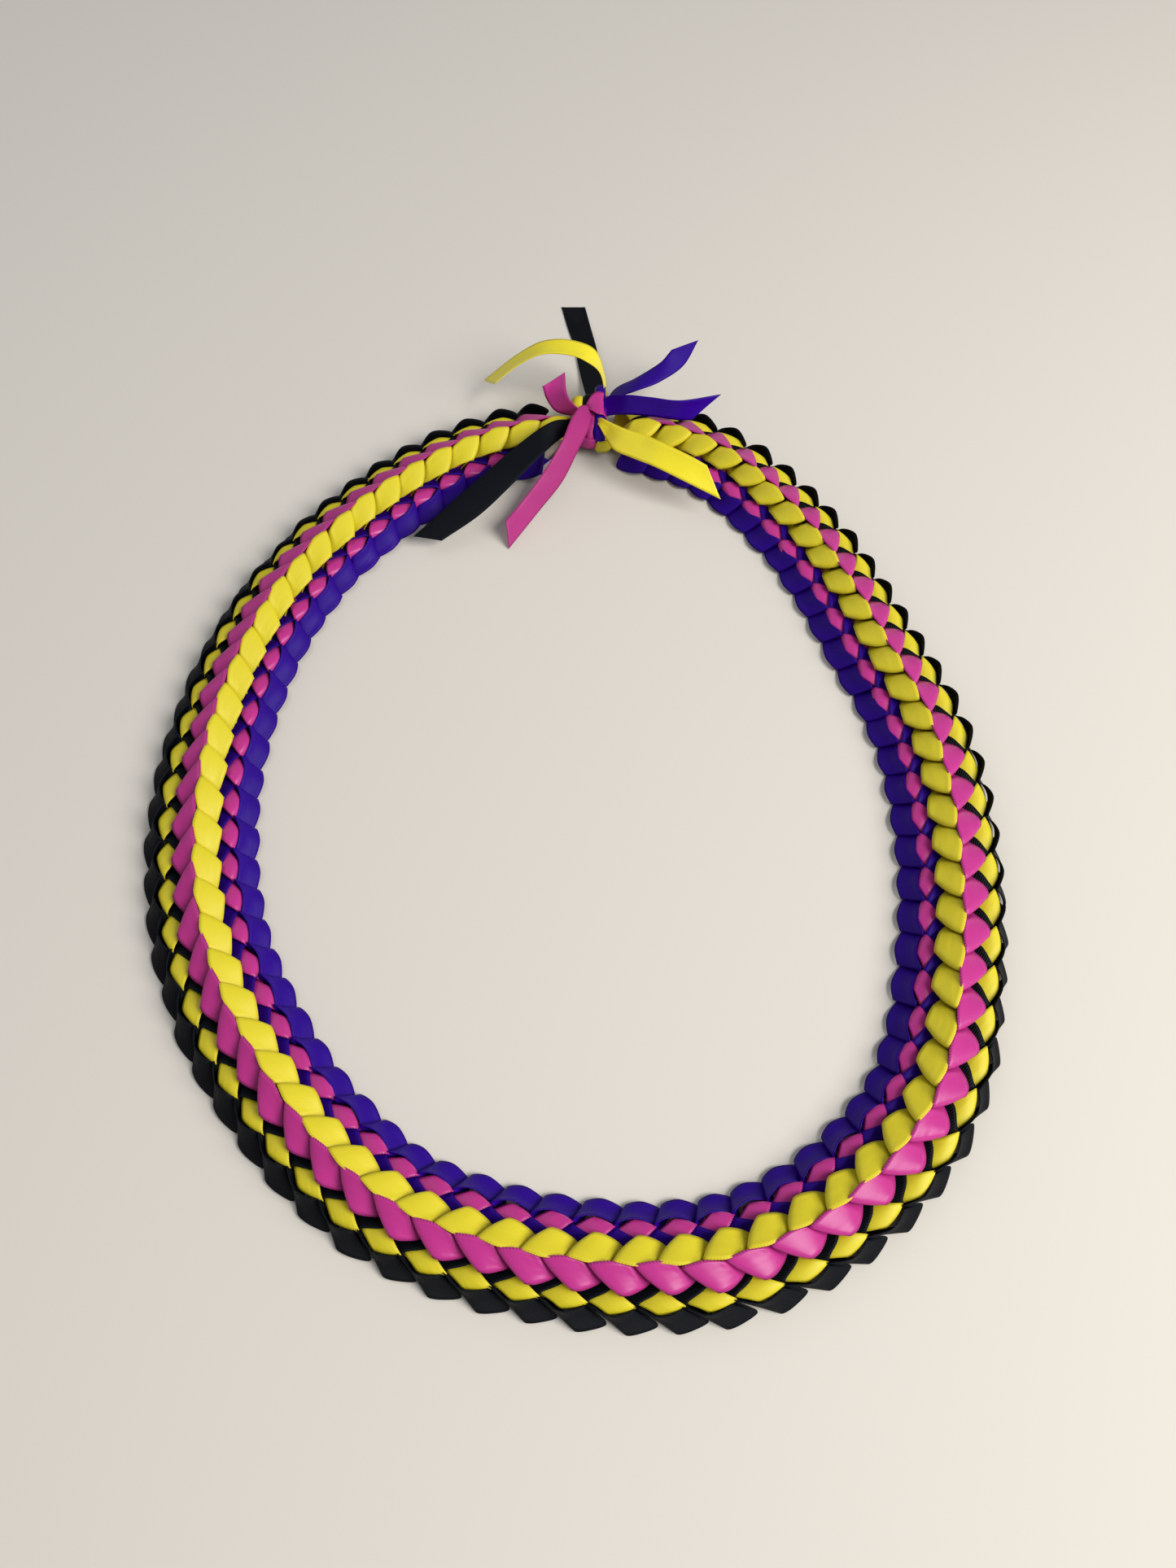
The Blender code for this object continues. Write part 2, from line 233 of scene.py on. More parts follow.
# %% Rows from a loop to the ridge and back
BLACK_BELOW = [
    ((0.50, 8.4, 4.2), (1.22, 12.8, 3.4), 0.0, 0.0, 3),        # turned inward
    ((0.32, 6.4, 4.0), (0.98, 10.2, 6.2), 0.0, 0.0, 4),        # dark tile in the chequered column
    ((0.60, 3.8, 4.2), (1.34, 6.6, 7.4), 0.3, 0.0, 4),
    ((0.84, 2.4, 3.8), (1.54, 4.4, 6.0), 0.0, 0.0, 3),
    ((0.62, 4.0, 2.2), (1.30, 5.4, 2.2), 0.0, 0.0, 3),         # turned down under the ridge scallop
    ((0.50, 7.0, 0.5), (1.24, 7.4, 0.5), 0.0, 0.0, 3),         # start of the way back
]
PURPLE_BELOW = [
    ((0.50, 8.4, 4.0), (1.20, 12.4, 3.2), 0.0, 0.0, 3),
    ((0.36, 6.4, 4.0), (0.98, 10.4, 6.3), 0.0, 0.0, 4),
    ((0.70, 3.8, 4.2), (1.46, 7.0, 7.6), 0.3, 0.0, 4),
    ((0.90, 2.4, 3.8), (1.64, 4.6, 6.2), 0.0, 0.0, 3),
    ((0.66, 4.0, 2.2), (1.34, 5.4, 2.2), 0.0, 0.0, 3),
    ((0.50, 7.0, 0.5), (1.24, 7.4, 0.5), 0.0, 0.0, 3),
]
print("rows from a loop to the ridge and back:", len(BLACK_BELOW))

# %% [markdown]
# ## Other forms of the black loops
#
# The black loops aren't alike all round. On the right they stand open, so that the floor shows through them,
# and on the left they are rounder. Both forms replace some rows of the loop, counted from 0, and a loop can
# be part of the way to a form, so that one form passes into the next.

# %% Open and round loops
OPEN_LOOP = {
    1: ((0.08, 10.8, 5.0), (0.62, 13.6, 0.6), 0.0, 0.0),
    2: ((-0.02, 11.0, 7.2), (0.54, 14.8, 0.6), 0.0, -0.3),
    3: ((0.03, 11.6, 8.2), (0.58, 15.8, 0.6), 0.2, -0.3),
    4: ((0.50, 15.4, 9.0), (0.88, 17.2, 0.5), 0.5, 0.0),
    5: ((0.93, 11.4, 6.4), (1.36, 15.0, 0.6), 0.3, 0.0),
}
ROUND_LOOP = {
    2: ((-0.06, 10.7, 6.6), (0.58, 17.0, 0.7), 0.0, -1.2),
    3: ((-0.02, 11.1, 7.8), (0.68, 17.8, 1.2), 0.3, -1.0),
    4: ((0.42, 13.5, 7.8), (1.05, 18.1, 0.9), 0.5, -0.3),
    5: ((0.90, 11.1, 6.2), (1.50, 16.2, 0.6), 0.5, 0.0),
}
# Each form, some repeats, and how much of the form the loops take there.
LOOP_FORMS = (
    (OPEN_LOOP, (0, 4, 9, 48, 53, 72), (0.8, 0.6, 0, 0, 1, 1)),
    (ROUND_LOOP, (8, 13, 25, 30), (0, 1, 1, 0)),
)


def between(first, second, share):
    """Numbers that lie this share of the way from the first to the second."""
    return tuple(np.array(first) * (1 - share) + np.array(second) * share)


def reshaped(row, position, repeat):
    """A row of the black ribbon, part of the way to its other forms."""
    for form, repeats, shares in LOOP_FORMS:
        share = float(np.interp(repeat, repeats, shares))
        if share > 0 and position in form:
            one_edge, other_edge, crown, bow, steps = row
            new_edge, new_other_edge, new_crown, new_bow = form[position]
            one_edge = between(one_edge, new_edge, share)
            other_edge = between(other_edge, new_other_edge, share)
            crown, bow = between((crown, bow), (new_crown, new_bow), share)
            row = (one_edge, other_edge, crown, bow, steps)
    return row


print("crown of a loop at repeat 60:", reshaped(BLACK_LOOP[4], 4, 60)[0])

# %% [markdown]
# ## From rows to a smooth way
#
# A smooth curve through each edge gives the ribbon's shape. An evenly timed curve would swing out where a
# long run meets a tight fold. So the curve's steps are spaced by the distance between rows, and a fold stays
# tight.

# %% Smooth a list of rows
# Rows that lie closer than this, as a square root of millimetres, count as this far apart.
LEAST_GAP = 0.05


def smooth_way(rows, steps):
    """Rows of numbers along a smooth curve: the first six say the two edges' places."""
    rows = np.array(rows, float)
    rows = np.concatenate([[2 * rows[0] - rows[1]], rows, [2 * rows[-1] - rows[-2]]])
    middles = (rows[:, :3] + rows[:, 3:6]) / 2
    gaps = np.maximum(np.sqrt(np.linalg.norm(np.diff(middles, axis=0), axis=1)), LEAST_GAP)
    marks = np.concatenate([[0], np.cumsum(gaps)])
    spans = []
    for index in range(1, len(rows) - 2):
        m0, m1, m2, m3 = marks[index - 1:index + 3]
        p0, p1, p2, p3 = rows[index - 1:index + 3]
        t = np.linspace(m1, m2, steps[index - 1], endpoint=False)[:, None]
        a1 = (m1 - t) / (m1 - m0) * p0 + (t - m0) / (m1 - m0) * p1
        a2 = (m2 - t) / (m2 - m1) * p1 + (t - m1) / (m2 - m1) * p2
        a3 = (m3 - t) / (m3 - m2) * p2 + (t - m2) / (m3 - m2) * p3
        b1 = (m2 - t) / (m2 - m0) * a1 + (t - m0) / (m2 - m0) * a2
        b2 = (m3 - t) / (m3 - m1) * a2 + (t - m1) / (m3 - m1) * a3
        spans.append((m2 - t) / (m2 - m1) * b1 + (t - m1) / (m2 - m1) * b2)
    return np.concatenate(spans + [rows[-2:-1]])


sample = smooth_way([(0, 0, 0, 10, 0, 0), (0, 9, 0, 10, 9, 0), (0, 9, 4, 10, 9, 4)], (3, 3, 3))
print("three rows become", len(sample))

# %% [markdown]
# ## Cut a strip
#
# A real ribbon is cut flat and then laid. The piece starts in the same way, as a flat grid with its squares
# across and one row of points for each row of its way. Each point keeps how far across the ribbon it lies and
# in which row.

# %% Cut a flat strip
RIBBON_WIDTH = 10.0
SQUARES_ACROSS = 8


def cut_strip(name, rows):
    """A flat grid with so many rows of points; returns it, and each point's share across and row."""
    bpy.ops.mesh.primitive_grid_add(
        x_subdivisions=SQUARES_ACROSS, y_subdivisions=rows - 1, size=2, location=(0, 0, 0)
    )
    strip = bpy.context.object
    strip.name = strip.data.name = name
    flat = np.empty(len(strip.data.vertices) * 3)
    strip.data.vertices.foreach_get("co", flat)
    flat = (flat.reshape(-1, 3) + 1) / 2
    return strip, flat[:, 0], np.rint(flat[:, 1] * (rows - 1)).astype(int)


print("a ribbon is", RIBBON_WIDTH, "mm wide, in", SQUARES_ACROSS, "squares")

# %% [markdown]
# ## Lay the strip
#
# Every point of the strip goes between the two edges of its row. The cloth between the edges crowns upward
# and bows along, the cords of grosgrain stand up as ribs, and a narrow turn is a ribbon folded in half along
# its length. Nothing can sink below the floor.

# %% Lay each point of a strip
RIBBON_THICKNESS = 0.32
GROSGRAIN_RIB = 0.76
GROSGRAIN_RIB_HEIGHT = 0.05
DOUBLED_GAP = 0.7
FOLD_SHARPNESS = 4
# Directions shorter than this count as this long, so that nothing is divided by zero.
SHORTEST = 1e-9


def unit(vectors):
    """The same directions, each of length 1."""
    return vectors / np.maximum(np.linalg.norm(vectors, axis=1), SHORTEST)[:, None]


def laid_places(way, run, share, row, ribbed, doubled):
    """Where each point of the strip goes, in millimetres."""
    left, right, crown, bow = way[:, :3], way[:, 3:6], way[:, 6], way[:, 7]
    along = unit(np.gradient((left + right) / 2, axis=0))
    up = unit(np.cross(along, right - left))
    arch = 1 - (2 * share - 1) ** 2
    reach = share
    bulge = crown[row] * arch
    if doubled:
        reach = 1 - np.abs(2 * share - 1)
        second_half = np.clip(FOLD_SHARPNESS * (share - 0.5) + 0.5, 0, 1)
        bulge = crown[row] * (1 - (2 * reach - 1) ** 2) - DOUBLED_GAP * second_half
    if ribbed:
        bulge += GROSGRAIN_RIB_HEIGHT * np.cos(2 * math.pi * run[row] / GROSGRAIN_RIB)
    places = left[row] * (1 - reach)[:, None] + right[row] * reach[:, None] + up[row] * bulge[:, None]
    places += along[row] * (bow[row] * arch)[:, None]
    places[:, 2] = np.maximum(places[:, 2], RIBBON_THICKNESS / 2)
    return places


print("a doubled ribbon's halves are", DOUBLED_GAP, "mm apart")

# %% [markdown]
# ## Thickness, and where the weave goes
#
# The UV map keeps each point's place on the flat ribbon, in metres, so the weave follows the cloth through
# every fold. Solidify gives the sheet its real thickness. Its back takes the second material, because satin
# shines on its face alone.

# %% Make a ribbon of a way
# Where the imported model's origin lies in the millimetres that the braid is drawn in.
ORIGIN = np.array((0, 30.1, 0))


def keep_flat_place(mesh, share, run):
    """A UV map that says, in metres, where on the flat ribbon each corner was."""
    corner = np.empty(len(mesh.loops), dtype=np.int32)
    mesh.loops.foreach_get("vertex_index", corner)
    flat = np.stack([share[corner] * RIBBON_WIDTH * MM, run[corner] * MM], axis=1)
    mesh.uv_layers[0].data.foreach_set("uv", flat.ravel())


def thicken(strip, face, back):
    """The ribbon's real thickness, with a material for each of its sides."""
    strip.data.materials.append(face)
    strip.data.materials.append(back)
    thickness = strip.modifiers.new("thickness", "SOLIDIFY")
    thickness.thickness = RIBBON_THICKNESS * MM
    thickness.offset = 0
    thickness.material_offset = 1
    bpy.ops.object.modifier_apply(modifier=thickness.name)


def lay_ribbon(name, way, materials, ribbed=False, doubled=False):
    """A ribbon of its real width, laid along a smoothed way; returns the piece and its flat length."""
    run = distances((way[:, :3] + way[:, 3:6]) / 2)
    piece, share, row = cut_strip(name, len(way))
    places = laid_places(way, run, share, row, ribbed, doubled)
    piece.data.vertices.foreach_set("co", ((places - ORIGIN) * MM).ravel())
    keep_flat_place(piece.data, share, run[row])
    piece.data.update()
    thicken(piece, *materials)
    bpy.ops.object.shade_smooth()
    bpy.ops.object.select_all(action="DESELECT")
    print(name, "is", round(run[-1]), "mm long, with", len(piece.data.polygons), "faces")
    return piece, run[-1] * MM


print("a ribbon is", RIBBON_THICKNESS, "mm thick")

# %% [markdown]
# ## Satin and grosgrain
#
# Satin's face is made of long floats along the ribbon, so it shines softly and has a very fine grain. Both
# its edges are woven as a narrow selvage, where the thread turns back in short stitches. Grosgrain has
# thick cords across it, which show as ribs, and it is matt; the shade in the grooves between its ribs is
# painted into its colour. A picture of cloth would blur close by, so the weave is worked out by nodes: one
# group gives the ribs, the selvage and slight unevenness, and each material sets its own spacing.

# %% Sockets and sums of a node group
def socket(group, name, kind, direction, value=None):
    """A socket of the group, with its value where it has one."""
    made = group.interface.new_socket(name=name, in_out=direction, socket_type=kind)
    if value is not None:
        made.default_value = value


def math_node(tree, operation, first, second=None, third=None):
    """A Math node's output, from numbers or other outputs."""
    node = tree.nodes.new("ShaderNodeMath")
    node.operation = operation
    for index, value in enumerate((first, second, third)):
        if value is None:
            continue
        if isinstance(value, (int, float)):
            node.inputs[index].default_value = value
        else:
            tree.links.new(value, node.inputs[index])
    return node.outputs[0]


def wave(tree, shape, place, spacing):
    """A sine or cosine of a place, from 0 to 1."""
    turns = math_node(tree, "MULTIPLY", math_node(tree, "DIVIDE", place, spacing), 2 * math.pi)
    return math_node(tree, "MULTIPLY_ADD", math_node(tree, shape, turns), 0.5, 0.5)


def mixed_colour(tree, share, first, second):
    """A Mix node's colour, by a share of its second colour."""
    node = tree.nodes.new("ShaderNodeMix")
    node.data_type = "RGBA"
    factor, first_input, second_input = node.inputs[0], node.inputs[6], node.inputs[7]
    tree.links.new(share, factor)
    tree.links.new(first, first_input)
    tree.links.new(second, second_input)
    return node.outputs[2]


print("helpers for a node group: socket, math_node, wave, mixed_colour")

# %% [markdown]
# ## Selvage and patches
#
# The selvage is a mask: it is 1 near the ribbon's two edges and 0 between them. Its stitches are the same
# mask, cut up by a wave along the ribbon. A soft noise, stretched along the ribbon, makes patches that are a
# little darker and duller, because real threads aren't all alike.

# %% Selvage, stitches and patches
SELVAGE = 0.55
STITCH_SPACING = 0.75
STITCH_LEVEL = 0.55
# How many patches would fit in a metre of cloth.
PATCHES_ACROSS, PATCHES_ALONG = 90, 45
PATCH_DETAIL = 3.0


def flat_place(tree):
    """How far across and along the flat ribbon a point lies, in metres."""
    place = tree.nodes.new("ShaderNodeUVMap")
    apart = tree.nodes.new("ShaderNodeSeparateXYZ")
    tree.links.new(place.outputs[0], apart.inputs[0])
    return apart.outputs[0], apart.outputs[1]


def selvage_and_seam(tree, across, along):
    """Masks of the woven edges and of the stitches in them."""
    from_edge = math_node(tree, "MINIMUM", across, math_node(tree, "SUBTRACT", RIBBON_WIDTH * MM, across))
    selvage = math_node(tree, "LESS_THAN", from_edge, SELVAGE * MM)
    stitch = wave(tree, "SINE", along, STITCH_SPACING * MM)
    stitch = math_node(tree, "GREATER_THAN", stitch, STITCH_LEVEL)
    return selvage, math_node(tree, "MULTIPLY", selvage, stitch)


def patches(tree, across, along, seed):
    """Soft unevenness, which is longer along the ribbon than across it."""
    place = tree.nodes.new("ShaderNodeCombineXYZ")
    tree.links.new(math_node(tree, "MULTIPLY", across, PATCHES_ACROSS), place.inputs[0])
    tree.links.new(math_node(tree, "MULTIPLY", along, PATCHES_ALONG), place.inputs[1])
    tree.links.new(seed, place.inputs[2])
    cloud = tree.nodes.new("ShaderNodeTexNoise")
    cloud.inputs["Scale"].default_value = 1.0
    cloud.inputs["Detail"].default_value = PATCH_DETAIL
    tree.links.new(place.outputs[0], cloud.inputs["Vector"])
    return cloud.outputs[0]


print("the selvage is", SELVAGE, "mm wide, with a stitch every", STITCH_SPACING, "mm")

# %% [markdown]
# ## The weave group
#
# A material sets the weave through the group's inputs. The group gives back a colour and two values and no
# surface, because each material has a shader of its own.

# %% Inputs and outputs of the weave
WEAVE_INPUTS = (
    ("Colour", "NodeSocketColor", (0.5, 0.5, 0.5, 1)),
    ("Dark", "NodeSocketColor", (0.2, 0.2, 0.2, 1)),
    ("Roughness", "NodeSocketFloat", 0.4),
    ("Rib spacing", "NodeSocketFloat", 0.00035),
    ("Rib depth", "NodeSocketFloat", 0.2),
    ("Rib shade", "NodeSocketFloat", 0.1),
    ("Stitch shade", "NodeSocketFloat", 0.5),
    ("Waves", "NodeSocketFloat", 10.0),
    ("Seed", "NodeSocketFloat", 0.0),
)
WEAVE_OUTPUTS = (
    ("Colour", "NodeSocketColor"),
    ("Roughness", "NodeSocketFloat"),
    ("Height", "NodeSocketFloat"),
)
print("a material can set", len(WEAVE_INPUTS), "values of the weave")

# %% Colour, roughness and relief of the weave
STITCH_HEIGHT = 0.5
THREAD_HEIGHT = 0.06
SELVAGE_ROUGHNESS = 0.15
# The noise is measured from these middles, so that a patch can be lighter or darker, smoother or rougher.
SHADE_MIDDLE, PATCH_SHADE = 0.45, 0.25
ROUGH_MIDDLE, PATCH_ROUGHNESS = 0.5, 0.16


def woven_colour(tree, given, rib, body, seam, uneven):
    """The cloth's colour: painted shade in the grooves between its ribs, and darker in its stitches and in
    patches.
    """
    # Painted shade: the colour darkens towards Dark in the grooves between the ribs, as much as Rib shade
    # says.
    groove = math_node(tree, "SUBTRACT", 1.0, rib)
    shade = math_node(tree, "MULTIPLY", math_node(tree, "MULTIPLY", groove, given["Rib shade"]), body)
    shade = math_node(tree, "MULTIPLY_ADD", seam, given["Stitch shade"], shade)
    from_middle = math_node(tree, "SUBTRACT", uneven, SHADE_MIDDLE)
    shade = math_node(tree, "MULTIPLY_ADD", from_middle, PATCH_SHADE, shade)
    clamp = tree.nodes.new("ShaderNodeClamp")
    tree.links.new(shade, clamp.inputs[0])
    return mixed_colour(tree, clamp.outputs[0], given["Colour"], given["Dark"])


def woven_roughness(tree, given, selvage, uneven):
    """The cloth's roughness, higher in the selvage."""
    from_middle = math_node(tree, "SUBTRACT", uneven, ROUGH_MIDDLE)
    rough = math_node(tree, "MULTIPLY_ADD", from_middle, PATCH_ROUGHNESS, given["Roughness"])
    return math_node(tree, "MULTIPLY_ADD", selvage, SELVAGE_ROUGHNESS, rough)


def woven_height(tree, given, rib, thread, body, seam, uneven):
    """The cloth's relief: ribs, threads, stitches and slight waves."""
    height = math_node(tree, "MULTIPLY", math_node(tree, "MULTIPLY", rib, given["Rib depth"]), body)
    height = math_node(tree, "MULTIPLY_ADD", thread, THREAD_HEIGHT, height)
    height = math_node(tree, "MULTIPLY_ADD", seam, STITCH_HEIGHT, height)
    return math_node(tree, "MULTIPLY_ADD", uneven, given["Waves"], height)


print("a stitch is", round(STITCH_HEIGHT / THREAD_HEIGHT, 1), "times as high as a thread")

# %% Build the weave group
THREAD_SPACING = 0.2


def make_weave():
    """The node group of a woven ribbon, which works from a UV map in metres."""
    group = bpy.data.node_groups.new("ribbon weave", "ShaderNodeTree")
    for name, kind, value in WEAVE_INPUTS:
        socket(group, name, kind, "INPUT", value)
    for name, kind in WEAVE_OUTPUTS:
        socket(group, name, kind, "OUTPUT")
    given = group.nodes.new("NodeGroupInput").outputs
    result = group.nodes.new("NodeGroupOutput").inputs
    across, along = flat_place(group)
    rib = wave(group, "COSINE", along, given["Rib spacing"])
    thread = wave(group, "SINE", across, THREAD_SPACING * MM)
    selvage, seam = selvage_and_seam(group, across, along)
    body = math_node(group, "SUBTRACT", 1.0, selvage)
    uneven = patches(group, across, along, given["Seed"])
    colour = woven_colour(group, given, rib, body, seam, uneven)
    roughness = woven_roughness(group, given, selvage, uneven)
    height = woven_height(group, given, rib, thread, body, seam, uneven)
    group.links.new(colour, result["Colour"])
    group.links.new(roughness, result["Roughness"])
    group.links.new(height, result["Height"])
    return group


weave = make_weave()
print("weave group has", len(weave.nodes), "nodes")

# %% [markdown]
# ## The ribbons' materials
#
# One finish serves three satin ribbons, and only their colours differ. The back of satin is duller and
# rougher than its face, and its colour is a little darker, partly as painted shade. Grosgrain is the same
# on both sides. The sheen is set low on the dark ribbons, or the window would turn them grey.

# %% Finishes of the cloth
FINISHES = {
    "satin_face": {
        "Roughness": 0.32, "Rib spacing": 0.34 * MM, "Rib depth": 0.1, "Rib shade": 0.06,
        "Stitch shade": 0.7, "Waves": 18.0,
    },
    "satin_back": {
        "Roughness": 0.5, "Rib spacing": 0.34 * MM, "Rib depth": 0.2, "Rib shade": 0.1,
        "Stitch shade": 0.5, "Waves": 14.0,
    },
    # Grosgrain's Rib shade is strong: it is painted shade in the grooves between its cords.
    "grosgrain": {
        "Roughness": 0.55, "Rib spacing": GROSGRAIN_RIB * MM, "Rib depth": 1.0, "Rib shade": 0.85,
        "Stitch shade": 0.0, "Waves": 2.0,
    },
}
# How strongly each finish's relief shows, and how deep a relief of full height is, in millimetres.
RELIEF = {"satin_face": 0.35, "satin_back": 0.45, "grosgrain": 0.9}
RELIEF_DEPTH = 0.12


def ribbon_material(colour, finish, light, dark, shine, seed):
    """A woven material: its light and dark colour, how much it shines, and a seed for its unevenness."""
    material = bpy.data.materials.new(f"{colour}_{finish}")
    material.use_nodes = True
    tree = material.node_tree
    shader = tree.nodes["Principled BSDF"]
    cloth = tree.nodes.new("ShaderNodeGroup")
    cloth.node_tree = weave
    for name, value in {"Colour": light, "Dark": dark, "Seed": seed, **FINISHES[finish]}.items():
        cloth.inputs[name].default_value = value
    raised = tree.nodes.new("ShaderNodeBump")
    raised.inputs["Strength"].default_value = RELIEF[finish]
    raised.inputs["Distance"].default_value = RELIEF_DEPTH * MM
    tree.links.new(cloth.outputs["Height"], raised.inputs["Height"])
    tree.links.new(cloth.outputs["Colour"], shader.inputs["Base Color"])
    tree.links.new(cloth.outputs["Roughness"], shader.inputs["Roughness"])
    tree.links.new(raised.outputs[0], shader.inputs["Normal"])
    shader.inputs["Specular IOR Level"].default_value = shine
    return material


print("finishes:", ", ".join(FINISHES))

# %% [markdown]
# ## Colours
#
# The colours are written as a screen shows them, and turned into the linear colours that a shader works
# with. Each ribbon has a second, darker colour for its stitches and patches, and for the painted shade in its
# grooves.

# %% Colours of the ribbons
def linear(red, green, blue):
    """Scene colour of an 8-bit screen colour."""
    def one(value):
        value /= 255
        return value / 12.92 if value <= 0.04045 else ((value + 0.055) / 1.055) ** 2.4
    return (one(red), one(green), one(blue), 1.0)


# Light colour, dark colour (also used for the painted shade in the grooves) and how much it shines.
RIBBON_COLOURS = {
    "yellow": (linear(236, 220, 44), linear(196, 168, 10), 0.35),
    "pink": (linear(184, 50, 132), linear(120, 20, 78), 0.3),
    "purple": (linear(46, 2, 142), linear(20, 0, 70), 0.12),
    "black": (linear(10, 15, 23), linear(1, 1, 2), 0.12),
}
# The back's colour is darker than the face's: partly a duller back, partly painted shade.
BACK_SHADED_BRIGHTNESS = 0.8
MATERIALS = {}
for seed, (colour, (light, dark, shine)) in enumerate(RIBBON_COLOURS.items()):
    if colour == "black":
        both_sides = ribbon_material(colour, "grosgrain", light, dark, shine, seed)
        MATERIALS[colour] = (both_sides, both_sides)
        continue
    dull_shaded_back = tuple(BACK_SHADED_BRIGHTNESS * value for value in light[:3]) + (1.0,)
    MATERIALS[colour] = (
        ribbon_material(colour, "satin_face", light, dark, shine, seed),
        ribbon_material(colour, "satin_back", dull_shaded_back, dark, shine, seed),
    )
print("ribbon materials:", ", ".join(MATERIALS))

# %% [markdown]
# ## Ends in the knot
#
# A braided ribbon starts and ends inside the knot. There the four lie flat in lanes one above the other, so
# that they don't cut through each other. A ribbon may come out of its lane a half turn round, and then its
# two edges are swapped.

# %% Ends in the knot
# The middle of the knot.
KNOT = (9.0, 157.0)
LANE_LOWEST, LANE_STEP = 1.9, 0.95
# How far from the knot's middle a lane starts, where the braid is, and ends.
LANE_START, LANE_END = 9.3, 0.25
LANE_WIDTH = 7.0


def knot_lane(side, lane):
    """The two rows of a ribbon in its lane of the knot, from the middle outward."""
    half = side * LANE_WIDTH / 2
    z = LANE_LOWEST + LANE_STEP * lane
    rows = []
    for reach in (LANE_END, LANE_START):
        x = KNOT[0] + side * reach
        rows.append([x, KNOT[1] - half, z, x, KNOT[1] + half, z, 0, 0])
    return rows


def untwisted(row, neighbour):
    """The row with its edges swapped if it is a half turn from its neighbour."""
    row, neighbour = np.array(row), np.array(neighbour)
    if np.dot(row[3:6] - row[:3], neighbour[3:6] - neighbour[:3]) < 0:
        row = np.concatenate([row[3:6], row[:3], row[6:]])
    return row.tolist()


print("the lowest lane of the knot is", LANE_LOWEST, "mm up")

# %% [markdown]
# ## Braid the four ribbons
#
# The same rows are repeated round the ridge. No two scallops of a hand-made braid are the same, so each
# repeat is moved by a few tenths of a millimetre, always the same ones, because the seed is fixed. The runs
# that lie on the floor aren't moved.

# %% Ways of the four ribbons
# A way's side is 1 where its tiles or loops lie outward of the ridge, and -1 where they lie inward. Its shift
# is in repeats, and its lane in the knot counts from the lowest.
Way = namedtuple("Way", "rows side shift repeats lane")
WAYS = {
    "yellow": Way(YELLOW_SCALLOP + BELOW_OTHER_BRAID, 1, 0.0, 70, 3),
    "black": Way(BLACK_LOOP + BLACK_BELOW, 1, 0.0, 69, 0),
    "pink": Way(PINK_SCALLOP + BELOW_OTHER_BRAID, -1, 0.5, 69, 2),
    "purple": Way(PURPLE_LOOP + PURPLE_BELOW, -1, 0.5, 69, 1),
}
# Where round the ridge, in repeats, a ribbon leaves the knot and is back at it.
FIRST_REPEAT, LAST_REPEAT = 1.5, 71.6
# How far a repeat usually wanders along, outward and up, in millimetres.
WANDER = (0.22, 0.16, 0.12)
# A row lies on the floor if its first edge is lower than this.
FLOOR_ROW_HEIGHT = 1
# Steps after each row in the knot.
STEPS_FROM_KNOT, STEPS_TO_KNOT = [4, 6], [4, 4]


def in_place(row, start, side, wander):
    """A row of a way as the places of its two edges, with its crown and bow."""
    one_edge, other_edge, crown, bow, _ = row
    edges = []
    for s, u, z in (one_edge, other_edge):
        edges += [*in_braid((start + s) * PITCH + wander[0], side * (u + wander[1]), z + wander[2])]
    return [*edges, side * crown, bow]


def rows_round_loop(colour, seed):
    """All rows of a ribbon from the knot round to the knot, and the steps after each."""
    way = WAYS[colour]
    chance = np.random.default_rng(seed)
    rows, steps = knot_lane(-1, way.lane), [*STEPS_FROM_KNOT]
    for repeat in range(way.repeats):
        start = FIRST_REPEAT + repeat + way.shift
        wander = chance.normal(0, 1, 3) * WANDER
        for position, row in enumerate(way.rows):
            if start + row[1][0] > LAST_REPEAT:
                break
            if colour == "black":
                row = reshaped(row, position, repeat)
            on_floor = row[0][2] < FLOOR_ROW_HEIGHT
            rows.append(in_place(row, start, way.side, (0, 0, 0) if on_floor else wander))
            steps.append(row[-1])
    rows += reversed(knot_lane(1, way.lane))
    steps += STEPS_TO_KNOT
    for index, neighbour in ((1, 2), (0, 1), (-2, -3), (-1, -2)):
        rows[index] = untwisted(rows[index], rows[neighbour])
    return rows, steps


print("rows in one repeat:", ", ".join(f"{colour} {len(way.rows)}" for colour, way in WAYS.items()))

# %% [markdown]
# ## One piece for each ribbon
#
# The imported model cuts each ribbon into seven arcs, but a real ribbon has no cuts in it. So each is laid in
# one length all round the loop, and takes the place of its seven arcs.

# %% Lay the braided ribbons
ARCS = 7

for seed, colour in enumerate(WAYS, start=1):
    rows, steps = rows_round_loop(colour, seed)
    piece, length = lay_ribbon(f"{colour}_braided", smooth_way(rows, steps), MATERIALS[colour])
    nodes = [f"{colour}_arc_{arc + 1}" for arc in range(ARCS)]
    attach(piece, "root")
    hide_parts(*nodes)

# %% [markdown]
# ## Tails
#
# Each ribbon leaves the knot twice. Most tails spring up from it and bend over under their own weight, and
# most ends are cut on a slant so that they fray less. Each row here gives the places of the tail's two edges
# in millimetres, from inside the knot to the cut.

